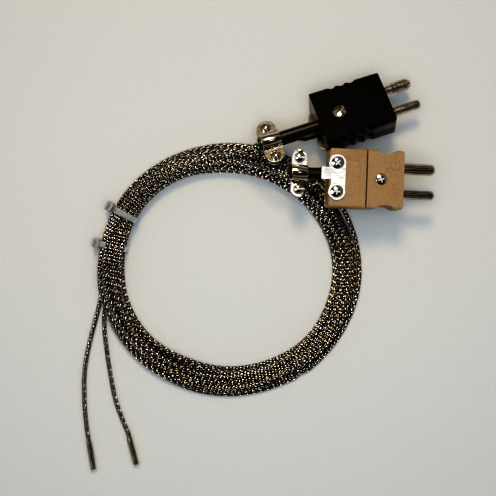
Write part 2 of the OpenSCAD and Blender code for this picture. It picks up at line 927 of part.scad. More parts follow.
module tan_fill() {
    color("ivory") at_tan_probe() fill();
}

black_base();
black_cover();
black_cover_screw();
black_cover_nut();
black_pos_pin();
black_neg_pin();
black_terminal_screws();
black_pos_wire();
black_neg_wire();
black_bracket();
black_bracket_screws();
black_clamp_saddle();
black_clamp_screws();
black_sleeve();
tan_base();
tan_front_cover();
tan_rear_cap();
tan_cover_screw();
tan_cover_nut();
tan_pos_pin();
tan_neg_pin();
tan_terminal_screws();
tan_pos_wire();
tan_neg_wire();
tan_bracket();
tan_bracket_screws();
tan_clamp_saddle();
tan_clamp_screws();
tan_sleeve();
black_lead_start();
black_lead_tail();
tan_lead_start();
tan_lead_tail();
lower_coil();
upper_coil();
black_sheath();
black_junction();
black_fill();
tan_sheath();
tan_junction();
tan_fill();
upper_tie();
lower_tie();
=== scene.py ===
"""Looks of a pair of thermocouples: two braided leads wound in one tied coil, two probes and two plugs.

Lengths are in millimetres in the layout code and are turned into metres where a mesh is made.
"""

import json
import math

import bmesh
import bpy
import numpy as np
from mathutils import Matrix, Vector


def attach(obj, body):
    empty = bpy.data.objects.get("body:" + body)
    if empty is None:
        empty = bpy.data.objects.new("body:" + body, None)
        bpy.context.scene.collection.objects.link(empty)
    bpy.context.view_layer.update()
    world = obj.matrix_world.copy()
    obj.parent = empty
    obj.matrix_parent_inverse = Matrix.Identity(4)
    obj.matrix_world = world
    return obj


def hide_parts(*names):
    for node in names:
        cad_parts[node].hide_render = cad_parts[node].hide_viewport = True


MM = 0.001
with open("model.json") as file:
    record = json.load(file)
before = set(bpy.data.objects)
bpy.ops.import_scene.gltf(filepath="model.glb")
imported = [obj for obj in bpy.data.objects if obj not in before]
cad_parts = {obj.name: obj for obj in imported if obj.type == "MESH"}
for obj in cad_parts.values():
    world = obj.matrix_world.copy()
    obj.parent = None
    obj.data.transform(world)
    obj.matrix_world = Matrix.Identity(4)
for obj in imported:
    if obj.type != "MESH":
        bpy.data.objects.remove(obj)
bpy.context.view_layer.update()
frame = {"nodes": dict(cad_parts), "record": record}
nodes = frame["nodes"]

# ---------- Sizes shared with the CAD ----------

LEAD_R = 1.1
COIL_AT = np.array([-12.5, 1.1, 0.0])
UPPER_TIE_ANGLE = 151.5
LOWER_TIE_ANGLE = 168.0
TIE_W = 2.6
TIE_T = 1.0
SHEATH_R = 1.5875
BODY_HALF_W = 12.5
BODY_HALF_T = 6.1
LEADS = ("black", "tan")
# The half of the CAD's coil that each lead takes the place of
COIL_NODE = {"black": "lower_coil", "tan": "upper_coil"}
# How far a lead runs straight before its sleeve and its probe
STRAIGHT = 2.5


def turn_matrix(roll, pitch, yaw):
    """Turn about X, then Y, then Z, in degrees, as the CAD places a plug."""
    about_x = Matrix.Rotation(math.radians(roll), 3, "X")
    about_y = Matrix.Rotation(math.radians(pitch), 3, "Y")
    about_z = Matrix.Rotation(math.radians(yaw), 3, "Z")
    return np.array(about_z @ about_y @ about_x)


class Plug:
    """Place of a plug: x along its pins, y across them, z through its cover."""

    def __init__(self, at, turn, sleeve_end, clamp_y):
        self.at = np.array(at)
        self.turn = turn_matrix(*turn)
        self.exit = self.place([sleeve_end, clamp_y, 0])
        self.straight_out = self.place([sleeve_end - STRAIGHT, clamp_y, 0])

    def place(self, points):
        """Where points of the plug lie on the table."""
        return self.at + np.array(points, float) @ self.turn.T


BLACK_ROLL = 21.5
BLACK_PITCH = 3.0
# The black plug leans on the lower edge of its body
BLACK_RISE = (BODY_HALF_T * math.cos(math.radians(BLACK_ROLL))
              + BODY_HALF_W * math.sin(math.radians(BLACK_ROLL)))
BLACK_RISE *= math.cos(math.radians(BLACK_PITCH))
PLUGS = {
    "black": Plug(
        at=(56.9, 75.5, BLACK_RISE), turn=(-BLACK_ROLL, BLACK_PITCH, 18), sleeve_end=-59.4, clamp_y=-0.8),
    "tan": Plug(at=(62, 40.1, 17.7), turn=(-1.5, 4.3, -2.4), sleeve_end=-48.4, clamp_y=1.6),
}

# Routes of the free stretches, the same points as in the CAD
START_ROUTE = {
    "black": [(-2.5, 54.8, 13), (-7, 53.2, 11.4), (-12, 52.2, 9.9), (-17, 51.8, 8.9), (-22, 50.8, 8.5)],
    "tan": [
        (9.5, 43.8, 20.2), (5, 45.4, 17.6), (0, 47.4, 14), (-5, 49, 10.9), (-10, 49.8, 9), (-15, 49.6, 8.5),
    ],
}
TAIL_ROUTE = {
    "black": [
        (-69.8, -9.5, 1.6), (-70.8, -14.5, 1.2), (-72.9, -22.3, 1.1), (-75.5, -32.6, 1.1),
        (-77.3, -42.9, 1.1), (-77.6, -53.2, 1.1), (-77.2, -61.8, 1.2), (-76.3, -69.8, 1.4),
    ],
    "tan": [
        (-67.6, -13, 1.4), (-68.6, -20, 1.1), (-68.3, -27.2, 1.1), (-67, -37.5, 1.1), (-65.5, -46.9, 1.1),
        (-63.5, -56.8, 1.1), (-60.9, -64.2, 1.2), (-59, -68.8, 1.4),
    ],
}
PROBE_AT = {"black": (-75.4, -75, SHEATH_R), "tan": (-57.3, -73, SHEATH_R)}
PROBE_YAW = {"black": -80.2, "tan": -75.4}
# How closely the curve through a route's points is sampled
ROUTE_STEP = 0.5

# ---------- Coil of the two leads ----------

TURNS = 6
ANGLE_STEP = 2
SECTIONS = 360 // ANGLE_STEP
# Where the first turn is counted from
START_ANGLE = 100
# How closely the tables below are sampled, in degrees
TABLE_STEP = 1.0
# Edges of the wound bundle: angle, inner radius, outer radius
BUNDLE_EDGES = [
    (0, 47.2, 57.1), (30, 45.5, 55.1), (60, 43.8, 54.0), (90, 44.1, 52.0), (110, 46.1, 52.8),
    (130, 47.3, 54.9), (150, 47.7, 56.2), (180, 47.0, 58.5), (210, 46.4, 59.1), (240, 43.0, 57.4),
    (270, 42.5, 56.3), (300, 43.8, 55.6), (325, 45.7, 55.4),
]
# Where each turn of a lead lies: share of the bundle's width from its inner edge, and height
LANES = {
    "black": [
        (0.62, 7.6), (0.40, 5.2), (0.75, 4.0), (0.25, 3.0),
        (0.02, 1.1), (0.42, 1.1), (0.85, 1.1), (0.95, 1.1),
    ],
    "tan": [
        (0.45, 7.4), (0.15, 5.2), (0.92, 3.2), (0.50, 3.0),
        (0.22, 1.1), (0.62, 1.1), (0.75, 1.1), (0.80, 1.1),
    ],
}
# Keeps a turn's number just short of its table's last row
LANE_MARGIN = 1.001
# Line of a lead's last turn, which lies outside the others: angle, radius
LAST_LINE = {
    "black": [
        (-60, 54.2), (-40, 55.9), (-20, 58.0), (0, 59.1), (30, 58.3), (60, 56.9), (90, 56.1), (110, 55.4),
        (130, 53.9), (150, 54.9), (180, 57.5), (200, 58.6),
    ],
    "tan": [
        (-60, 52.0), (-30, 54.2), (0, 56.0), (30, 54.1), (60, 54.6), (90, 54.4), (110, 53.2), (130, 52.4),
        (150, 53.2), (180, 55.4), (200, 57.0),
    ],
}
# Over how many degrees that line is taken up
LAST_BLEND = 30
# Between these turns the black lead lies alone inside the others, round this angle
INNER_TURNS = (3.25, 4.25)
INNER_GAP = 0.7
INNER_GAP_ANGLE = 265
INNER_GAP_SPREAD = 45
# Turns that pass over the lower tie instead of through it, and how high its loop may reach
OVER_TURNS = 2
LOWER_TIE_TOP = 6.1
# Round this angle the bundle is narrow and piled high: each height is stretched, and some are lifted
PILE_ANGLE = 142
PILE_REACH = 52
PILE_BLEND = 26
PILE_STRETCH = 0.75
PILE_LIFT = {"black": 0, "tan": 1.9}

# Settling: its rounds, the share of them after which its first forces fade, and how long they take to
SETTLE_ROUNDS = 1500
CALM_FROM = 0.5
CALM_OVER = 0.3
# Least distance between the middles of two strands, in radii, and how strongly they part
APART = 2.03
PUSH = 1.3
# Keeps a distance of nothing from being divided by
TINY = 1e-9
# How fast a strand goes to its own lane: any turn, and more in the last and the inner one
LANE_PULL = 0.02
LAST_PULL = 0.28
INNER_PULL = 0.2
# How fast it sinks, at first and always
SINK = 0.03
SINK_ALWAYS = 0.0015
# How fast it returns between the bundle's edges: at first, always, and more round the tied side
EDGE_PULL = 0.3
EDGE_HOLD = 0.03
TIED_HOLD = 0.09
TIED_ANGLE = 145
TIED_REACH = 1.6
TIED_BLEND = 30
# How fast it straightens, at first and always, and how often in a round
STRAIGHTEN = 0.5
STRAIGHTEN_ALWAYS = 0.12
STRAIGHTEN_TIMES = 2
# Half the width of the places where strands rise over a tie's band
BAND_REACH = 4
OVER_REACH = 8
# Spacing of a settled lead's points, how often its bends are softened, and the points kept at its ends
LINE_STEP = 0.5
SOFTEN_TIMES = 40
FIXED_ENDS = 3


def smooth_step(x):
    """Smooth rise from nothing at 0 to one at 1."""
    x = np.clip(x, 0, 1)
    return x * x * (3 - 2 * x)


def angle_from(a, b):
    """How far the angles a are from b, in degrees, whichever way is shorter."""
    return np.abs((np.asarray(a) - b + 180) % 360 - 180)


def near(angle, place, half_width):
    """One at that place of the coil, falling smoothly to nothing at twice half_width away."""
    return smooth_step(2 - angle_from(angle, place) / half_width)


def curve_through(points, spacing):
    """Smooth curve through the points (Catmull-Rom), sampled about every spacing."""
    p = np.array(points, float)
    p = np.vstack([2 * p[0] - p[1], p, 2 * p[-1] - p[-2]])
    parts = []
    for a, b, c, d in zip(p[:-3], p[1:-2], p[2:-1], p[3:]):
        count = max(2, int(np.linalg.norm(c - b) / spacing))
        t = np.arange(count)[:, None] / count
        bend = (2 * a - 5 * b + 4 * c - d) * t**2 + (3 * b - a - 3 * c + d) * t**3
        parts.append(b + 0.5 * ((c - a) * t + bend))
    return np.vstack(parts + [p[-2:-1]])


def even_line(points, spacing):
    """The same line with a point at every spacing."""
    length = np.concatenate([[0], np.cumsum(np.linalg.norm(np.diff(points, axis=0), axis=1))])
    at = np.linspace(0, length[-1], int(round(length[-1] / spacing)) + 1)
    return np.stack([np.interp(at, length, points[:, i]) for i in range(3)], 1), at


def round_profile(rows, angles, column):
    """Value of a column of rows (angle, value, ...) at the angles, smoothly round the circle."""
    at = np.array([r[0] for r in rows], float)
    value = np.array([r[column] for r in rows], float)
    thrice = np.concatenate([at - 360, at, at + 360])
    loop = curve_through(np.stack([thrice, np.tile(value, 3)], 1), TABLE_STEP)
    return np.interp(np.mod(angles, 360), loop[:, 0], loop[:, 1])


class Strand:
    """One lead's way round the coil, a point every ANGLE_STEP degrees: radius and height."""

    def __init__(self, name):
        route_in = [PLUGS[name].exit, PLUGS[name].straight_out, *START_ROUTE[name]]
        way_in = curve_through(route_in, ROUTE_STEP) - COIL_AT
        angle_in = np.degrees(np.arctan2(way_in[:, 1], way_in[:, 0]))
        way_out = np.array(TAIL_ROUTE[name][0]) - COIL_AT
        angle_out = math.degrees(math.atan2(way_out[1], way_out[0])) % 360 + 360 * TURNS
        first = math.ceil(angle_in[0] / ANGLE_STEP)
        self.name = name
        self.step = np.arange(first, round(angle_out / ANGLE_STEP) + 1)
        self.angle = self.step * ANGLE_STEP
        self.pinned = self.angle <= angle_in[-1]
        lane = np.array(LANES[name])
        turn = np.clip((self.angle - START_ANGLE) / 360, 0, len(lane) - LANE_MARGIN)
        whole = turn.astype(int)
        share = smooth_step(turn - whole)[:, None]
        wanted = lane[whole] * (1 - share) + lane[whole + 1] * share
        self.low = round_profile(BUNDLE_EDGES, self.angle, 1) + LEAD_R
        self.high = round_profile(BUNDLE_EDGES, self.angle, 2) - LEAD_R
        radius = self.low + wanted[:, 0] * (self.high - self.low)
        last = curve_through(LAST_LINE[name], TABLE_STEP)
        before_end = self.angle - 360 * TURNS
        self.last = smooth_step((before_end - last[0, 0]) / LAST_BLEND)
        last_radius = np.interp(before_end, last[:, 0], last[:, 1])
        self.radius = radius * (1 - self.last) + last_radius * self.last
        piled = smooth_step((PILE_REACH - angle_from(self.angle, PILE_ANGLE)) / PILE_BLEND)
        height = wanted[:, 1] + piled * (PILE_STRETCH * (wanted[:, 1] - LEAD_R) + PILE_LIFT[name])
        self.point = np.stack([self.radius, height], 1)
        self.point[self.pinned, 0] = np.interp(
            self.angle[self.pinned], angle_in, np.hypot(way_in[:, 0], way_in[:, 1]))
        self.point[self.pinned, 1] = np.interp(self.angle[self.pinned], angle_in, way_in[:, 2])
        self.point[-1] = [math.hypot(way_out[0], way_out[1]), way_out[2]]
        self.pinned[-1] = True


def neighbours(angle):
    """Points that share each section of the coil: their indices, which are real, and which pairs are."""
    member = [np.flatnonzero((angle // ANGLE_STEP) % SECTIONS == s) for s in range(SECTIONS)]
    width = max(len(m) for m in member)
    index = np.array([np.pad(m, (0, width - len(m)), constant_values=-1) for m in member])
    real = index >= 0
    pair = real[:, :, None] & real[:, None, :] & ~np.eye(width, dtype=bool)
    return np.where(real, index, 0), real, pair


def parting(point, free, index, real, pair):
    """How far each point moves away from those of its section that it is too close to."""
    here = point[index]
    gap = here[:, :, None] - here[:, None, :]
    distance = np.sqrt((gap**2).sum(-1)) + TINY
    short = np.where(pair, np.maximum(APART * LEAD_R - distance, 0), 0)
    weight = free[index][:, :, None] * np.ones_like(short)
    share = weight / np.maximum(weight + weight.transpose(0, 2, 1), TINY)
    push = (gap / distance[..., None] * (short * share)[..., None]).sum(2)
    push *= PUSH / np.maximum((short > 0).sum(2), 1)[..., None]
    moved = np.zeros_like(point)
    moved[index[real]] = push[real]
    return moved


def straighten(line, share):
    """Moves a strand's points towards the mean of their neighbours, in place."""
    for _ in range(STRAIGHTEN_TIMES):
        even = line.copy()
        even[2:-2] = (line[:-4] + 2 * line[1:-3] + 2 * line[2:-2] + 2 * line[3:-1] + line[4:]) / 8
        line += (even - line) * share


def settle(strands):
    """Lets the strands come to rest in the bundle: apart from each other, on the table and without kinks."""
    point = np.vstack([s.point for s in strands])
    angle = np.concatenate([s.angle for s in strands])
    free = 1.0 - np.concatenate([s.pinned for s in strands])
    radius = np.concatenate([s.radius for s in strands])
    low = np.concatenate([s.low for s in strands])
    high = np.concatenate([s.high for s in strands])
    last = np.concatenate([s.last for s in strands])
    ends = np.cumsum([0] + [len(s.step) for s in strands])
    is_black = np.arange(len(point)) < ends[1]
    turn = (angle - START_ANGLE) / 360
    inner = is_black & (turn > INNER_TURNS[0]) & (turn < INNER_TURNS[1])
    gap_share = smooth_step(1 - angle_from(angle, INNER_GAP_ANGLE) / INNER_GAP_SPREAD)
    room = gap_share * (2 * LEAD_R + INNER_GAP)
    low = np.where(inner, low, low + room)
    alone = inner & (room > 0)
    radius = np.where(alone, low, radius)
    pull = LANE_PULL + LAST_PULL * last + INNER_PULL * alone
    held = EDGE_HOLD + TIED_HOLD * smooth_step(TIED_REACH - angle_from(angle, TIED_ANGLE) / TIED_BLEND)
    upper_band = near(angle, UPPER_TIE_ANGLE, BAND_REACH) * TIE_T
    lower_band = near(angle, LOWER_TIE_ANGLE, BAND_REACH) * TIE_T
    over = near(angle, LOWER_TIE_ANGLE, OVER_REACH) * (turn < OVER_TURNS) * LOWER_TIE_TOP
    floor = LEAD_R + np.maximum(np.maximum(upper_band, over), lower_band)
    together = neighbours(angle)
    for i in range(SETTLE_ROUNDS):
        strength = float(np.clip(1 - (i / SETTLE_ROUNDS - CALM_FROM) / CALM_OVER, 0, 1))
        point += parting(point, free, *together) * free[:, None]
        point[:, 1] -= (SINK * strength + SINK_ALWAYS) * free
        point[:, 0] += (radius - point[:, 0]) * pull * free * strength
        outside = np.maximum(low - point[:, 0], 0) - np.maximum(point[:, 0] - high, 0) * (1 - last) ** 4
        point[:, 0] += outside * (EDGE_PULL * strength + held) * free
        for a, b in zip(ends[:-1], ends[1:]):
            straighten(point[a:b], free[a:b, None] * (STRAIGHTEN * strength + STRAIGHTEN_ALWAYS))
        point[:, 1] += (np.maximum(point[:, 1], floor) - point[:, 1]) * free
    for s, a, b in zip(strands, ends[:-1], ends[1:]):
        s.point = point[a:b]


def soften(line):
    """The same line with its sharp bends rounded, all but the first and last few points."""
    line = line.copy()
    middle = slice(FIXED_ENDS, -FIXED_ENDS)
    before = slice(FIXED_ENDS - 1, -FIXED_ENDS - 1)
    after = slice(FIXED_ENDS + 1, len(line) - FIXED_ENDS + 1)
    for _ in range(SOFTEN_TIMES):
        line[middle] += (line[before] + line[after] - 2 * line[middle]) / 4
    return line


def lead_line(strand):
    """Centreline of a whole lead, from its plug to its probe."""
    name = strand.name
    free = ~strand.pinned
    turn = np.radians(strand.angle[free])
    radius = strand.point[free, 0]
    coil = np.stack([radius * np.cos(turn), radius * np.sin(turn), strand.point[free, 1]], 1) + COIL_AT
    probe = np.array(PROBE_AT[name])
    heading = math.radians(PROBE_YAW[name])
    back = probe - STRAIGHT * np.array([math.cos(heading), math.sin(heading), 0])
    plug = PLUGS[name]
    points = [plug.exit, plug.straight_out, START_ROUTE[name], coil, TAIL_ROUTE[name], back, probe]
    line, _ = even_line(curve_through(np.vstack(points), ROUTE_STEP), LINE_STEP)
    return soften(line)


# ---------- Mesh building ----------

# Steps round an eased edge of a box, and how full its curve is
BOX_EDGE_STEPS = 3
BOX_EDGE_PROFILE = 0.6


def root_piece(name, data, look):
    """A piece in the scene with this look, which stays on the root body."""
    data.materials.append(look)
    piece = bpy.data.objects.new(name, data)
    bpy.context.scene.collection.objects.link(piece)
    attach(piece, "root")
    return piece


def quad_mesh(name, points, quads, look, **values):
    """A piece made of four-sided faces, from points in millimetres, with named values at its points."""
    mesh = bpy.data.meshes.new(name)
    quads = np.asarray(quads, np.int32)
    mesh.vertices.add(len(points))
    mesh.vertices.foreach_set("co", (np.asarray(points) * MM).astype(np.float32).ravel())
    mesh.loops.add(quads.size)
    mesh.loops.foreach_set("vertex_index", quads.ravel())
    mesh.polygons.add(len(quads))
    mesh.polygons.foreach_set("loop_start", np.arange(0, quads.size, 4, dtype=np.int32))
    mesh.polygons.foreach_set("use_smooth", np.ones(len(quads), bool))
    for key, value in values.items():
        mesh.attributes.new(key, "FLOAT", "POINT").data.foreach_set("value", np.asarray(value, np.float32))
    mesh.update(calc_edges=True)
    mesh.validate()
    return root_piece(name, mesh, look)


def tube_quads(rings, around):
    """Faces round a tube of rings, each with that many points, with open ends."""
    ring, k = np.meshgrid(np.arange(rings - 1), np.arange(around), indexing="ij")
    after = (k + 1) % around
    here = ring * around
    ahead = here + around
    return np.stack([here + k, here + after, ahead + after, ahead + k], -1).reshape(-1, 4)


def rounded_box(name, size, edge, at, yaw, look):
    """A box with eased edges, turned about the vertical."""
    mesh = bpy.data.meshes.new(name)
    form = bmesh.new()
    bmesh.ops.create_cube(form, size=1)
    bmesh.ops.scale(form, vec=Vector(size) * MM, verts=form.verts)
    bmesh.ops.bevel(
        form, geom=form.edges[:], offset=edge * MM, segments=BOX_EDGE_STEPS, affect="EDGES",
        profile=BOX_EDGE_PROFILE)
    turn = Matrix.Rotation(math.radians(yaw), 3, "Z")
    bmesh.ops.rotate(form, cent=(0, 0, 0), matrix=turn, verts=form.verts)
    bmesh.ops.translate(form, vec=Vector(at) * MM, verts=form.verts)
    for face in form.faces:
        face.smooth = True
    form.to_mesh(mesh)
    form.free()
    return root_piece(name, mesh, look)


def line_frames(line):
    """Unit vectors along a line, level across it, and up from it."""
    along = np.gradient(line, axis=0)
    along /= np.linalg.norm(along, axis=1)[:, None]
    side = np.cross([0, 0, 1], along)
    side /= np.linalg.norm(side, axis=1)[:, None]
    return along, side, np.cross(along, side)


# ---------- Braided leads ----------

CORE_R = 0.80
CORE_STEP = 1.2
CORE_ROUNDNESS = 2
# Wire bundles wound each way, and the length in which one goes once round
CARRIERS = 4
BRAID_PITCH = 12.4
# Two rows of crossings lie close beside the top of the lead, and their glints alternate along it
BRAID_PHASE = 0.25
BRAID_R = 0.96
# How far a bundle rises and dips, how wide it is and how high its middle stands
BRAID_WEAVE = 0.10
BRAID_WIDTH = 0.98
BRAID_CROWN = 0.15
# Points along a bundle and round it
BRAID_STEP = 0.4
BRAID_SECTION = 4


def braid(name, line, hand, carrier, look):
    """One of the wire bundles round a line, which passes over and under those of the other hand in turn."""
    points, at = even_line(line, BRAID_STEP)
    _, side, up = line_frames(points)
    lean = math.cos(math.atan(2 * math.pi * BRAID_R / BRAID_PITCH))
    half = BRAID_WIDTH / lean / 2 / BRAID_R
    # Points across a bundle, which is highest along its middle and flat underneath
    corner = np.linspace(-1, 1, BRAID_SECTION)
    crown = (0.5 - corner**2) * BRAID_CROWN
    angle = hand * 2 * math.pi * at / BRAID_PITCH + 2 * math.pi * (carrier + BRAID_PHASE) / CARRIERS
    # Over or under: by the sum of the two bundles' numbers where they cross
    crossed = hand * at / BRAID_PITCH * 2 * CARRIERS + 2 * carrier
    over = hand * np.cos(math.pi * crossed)
    theta = angle[:, None] + corner * half
    radius = BRAID_R + BRAID_WEAVE * over[:, None] + crown
    rings = points[:, None] + radius[..., None] * (
        np.cos(theta)[..., None] * side[:, None] + np.sin(theta)[..., None] * up[:, None])
    across = np.tile((corner + 1) / 2, len(points))
    # How far each ring stands out, which the braid's colour turns into a painted highlight on the crests and
    # painted shade where the bundle dives under
    raised = np.repeat((over + 1) / 2, BRAID_SECTION)
    first_ring = np.arange(BRAID_SECTION)
    last_ring = first_ring + (len(points) - 1) * BRAID_SECTION
    quads = np.vstack([tube_quads(len(points), BRAID_SECTION), first_ring[::-1], last_ring])
    return quad_mesh(name, rings.reshape(-1, 3), quads, look, across=across, raised=raised)


def core(name, line, look):
    """The inner lead that shows between the braid's bundles, coloured near black as painted shade of the
    gaps between them.
    """
    curve = bpy.data.curves.new(name, "CURVE")
    curve.dimensions = "3D"
    points, _ = even_line(line, CORE_STEP)
    spline = curve.splines.new("POLY")
    spline.points.add(len(points) - 1)
    spline.points.foreach_set("co", np.column_stack([points * MM, np.ones(len(points))]).ravel())
    curve.bevel_depth = CORE_R * MM
    curve.bevel_resolution = CORE_ROUNDNESS
    curve.use_fill_caps = True
    return root_piece(name, curve, look)


# ---------- Cable ties ----------

TIE_SIDES = 96
TIE_EDGE = 0.3
# A band's clearance from the strands, and how much thinner it is than its space
TIE_CLEAR = 0.03
TIE_THINNED = 0.1
# Head and cut tail: sizes outwards, along the coil and upwards
TIE_HEAD = (3.0, 4.2, 4.4)
TIE_HEAD_EDGE = 0.48
TIE_HEAD_OUT = 0.2
TIE_TAIL = (1.1, 2.4, 2.6)
TIE_TAIL_RISE = 0.8
# Comes before the first turn, for a tie that holds every one
ALL_TURNS = -1


def tie_loop(centres, reach):
    """Line drawn tight round strands with these centres (radius, height), standing off by reach."""
    turn = np.linspace(0, 2 * math.pi, TIE_SIDES, endpoint=False)
    outward = np.stack([np.cos(turn), np.sin(turn)], 1)
    return centres[np.argmax(centres @ outward.T, axis=0)] + reach * outward


def held_by_tie(angle, strands, from_turn):
    """Where the strands that a tie holds pass it: radius and height of each."""
    held = []
    for strand in strands:
        for whole in range(-1, TURNS + 1):
            at = angle + 360 * whole
            turn = (at - START_ANGLE) / 360
            if strand.angle[0] <= at <= strand.angle[-1] and turn >= from_turn:
                held.append([np.interp(at, strand.angle, strand.point[:, i]) for i in range(2)])
    return np.array(held)


def cable_tie(name, angle, strands, from_turn, look):
    """A tie's band, fitted round the strands that it holds, with its head on the outer side."""
    held = held_by_tie(angle, strands, from_turn)
    inner = LEAD_R + TIE_CLEAR
    outer = inner + TIE_T - TIE_THINNED
    half = TIE_W / 2
    # The band's section: its inner face, then round its outer face with eased edges
    section = [
        (inner, -half), (inner, half), (outer - TIE_EDGE, half), (outer, half - TIE_EDGE),
        (outer, TIE_EDGE - half), (outer - TIE_EDGE, -half),
    ]
    rings = np.stack([np.column_stack([tie_loop(held, reach), np.full(TIE_SIDES, across)])
                      for reach, across in section], 1)
    around = len(section)
    quads = tube_quads(TIE_SIDES + 1, around) % (TIE_SIDES * around)
    radial = math.radians(angle)
    out_x = math.cos(radial)
    out_y = math.sin(radial)
    basis = np.array([[out_x, out_y, 0], [0, 0, 1], [-out_y, out_x, 0]])
    points = rings.reshape(-1, 3) @ basis + COIL_AT
    band = quad_mesh(name + "_band", points, quads, look)
    middle = (held[:, 1].min() + held[:, 1].max()) / 2
    outer_side = tie_loop(held, outer)[:, 0].max()
    head_at = [outer_side + TIE_HEAD[0] / 2 - TIE_T + TIE_HEAD_OUT, middle, 0]
    tail_at = [outer_side + TIE_HEAD[0] / 2, middle + TIE_HEAD[2] / 2 + TIE_TAIL_RISE, 0]
    head = rounded_box(
        name + "_head", TIE_HEAD, TIE_HEAD_EDGE, COIL_AT + np.array(head_at) @ basis, angle, look)
    tail = rounded_box(
        name + "_tail", TIE_TAIL, TIE_EDGE, COIL_AT + np.array(tail_at) @ basis, angle, look)
    return [band, head, tail]


# ---------- Materials ----------

# Where most of a noise's values lie
NOISE_LOW = 0.3
NOISE_HIGH = 0.7
# Fine wires that show across a bundle
WIRES = 7


def set_stops(ramp_node, stops):
    """Gives a colour ramp its stops of (value, colour)."""
    elements = ramp_node.color_ramp.elements
    while len(elements) < len(stops):
        elements.new(0.5)
    for element, (at, color) in zip(elements, stops):
        element.position = at
        element.color = (*color, 1)


class Look:
    """A node material: one shader, with noise, ramps and bump added to it by name."""

    def __init__(self, name, color, metallic=0.0, roughness=0.5, **sockets):
        self.material = bpy.data.materials.new(name)
        self.material.use_nodes = True
        self.tree = self.material.node_tree
        self.shader = self.tree.nodes["Principled BSDF"]
        self.shader.inputs["Base Color"].default_value = (*color, 1)
        self.shader.inputs["Metallic"].default_value = metallic
        self.shader.inputs["Roughness"].default_value = roughness
        for key, value in sockets.items():
            self.shader.inputs[key.replace("_", " ")].default_value = value
        self.place = self.tree.nodes.new("ShaderNodeTexCoord").outputs["Object"]

    def noise(self, size, detail=3.0, stretch=(1, 1, 1)):
        """Noise with features of about this size in millimetres, drawn out along an axis by stretch."""
        scale = self.tree.nodes.new("ShaderNodeMapping")
        scale.inputs["Scale"].default_value = [1 / (size * MM * k) for k in stretch]
        node = self.tree.nodes.new("ShaderNodeTexNoise")
        node.inputs["Scale"].default_value = 1.0
        node.inputs["Detail"].default_value = detail
        self.tree.links.new(self.place, scale.inputs["Vector"])
        self.tree.links.new(scale.outputs["Vector"], node.inputs["Vector"])
        return node.outputs["Fac"]

    def colors(self, value, stops):
        """Base colour from a value, by stops of (value, colour)."""
        ramp = self.tree.nodes.new("ShaderNodeValToRGB")
        set_stops(ramp, stops)
        self.tree.links.new(value, ramp.inputs["Fac"])
        self.tree.links.new(ramp.outputs["Color"], self.shader.inputs["Base Color"])

    def spread(self, value, socket, low, high):
        """Drives a socket from a noise value, between low and high."""
        span = self.tree.nodes.new("ShaderNodeMapRange")
        span.inputs["From Min"].default_value = NOISE_LOW
        span.inputs["From Max"].default_value = NOISE_HIGH
        span.inputs["To Min"].default_value = low
        span.inputs["To Max"].default_value = high
        self.tree.links.new(value, span.inputs["Value"])
        self.tree.links.new(span.outputs["Result"], self.shader.inputs[socket])

    def bump(self, value, depth):
        """Raises the surface by up to depth millimetres where the value is high."""
        node = self.tree.nodes.new("ShaderNodeBump")
        node.inputs["Distance"].default_value = depth * MM
        self.tree.links.new(value, node.inputs["Height"])
        before = self.shader.inputs["Normal"].links
        if before:
            self.tree.links.new(before[0].from_socket, node.inputs["Normal"])
        self.tree.links.new(node.outputs["Normal"], self.shader.inputs["Normal"])

    def value(self, name):
        """A named value that the piece holds at its points."""
        node = self.tree.nodes.new("ShaderNodeAttribute")
        node.attribute_name = name
        return node.outputs["Fac"]

    def add(self, value, other, share):
        """A value with a share of another added to it."""
        node = self.tree.nodes.new("ShaderNodeMath")
        node.operation = "MULTIPLY_ADD"
        self.tree.links.new(other, node.inputs[0])
        node.inputs[1].default_value = share
        self.tree.links.new(value, node.inputs[2])
        return node.outputs["Value"]

    def stripes(self, attribute, count):
        """Wave across a piece, from a named value that runs from 0 to 1."""
        turns = self.tree.nodes.new("ShaderNodeMath")
        turns.operation = "MULTIPLY"
        turns.inputs[1].default_value = 2 * math.pi * count
        wave = self.tree.nodes.new("ShaderNodeMath")
        wave.operation = "SINE"
        self.tree.links.new(self.value(attribute), turns.inputs[0])
        self.tree.links.new(turns.outputs["Value"], wave.inputs[0])
        return wave.outputs["Value"]


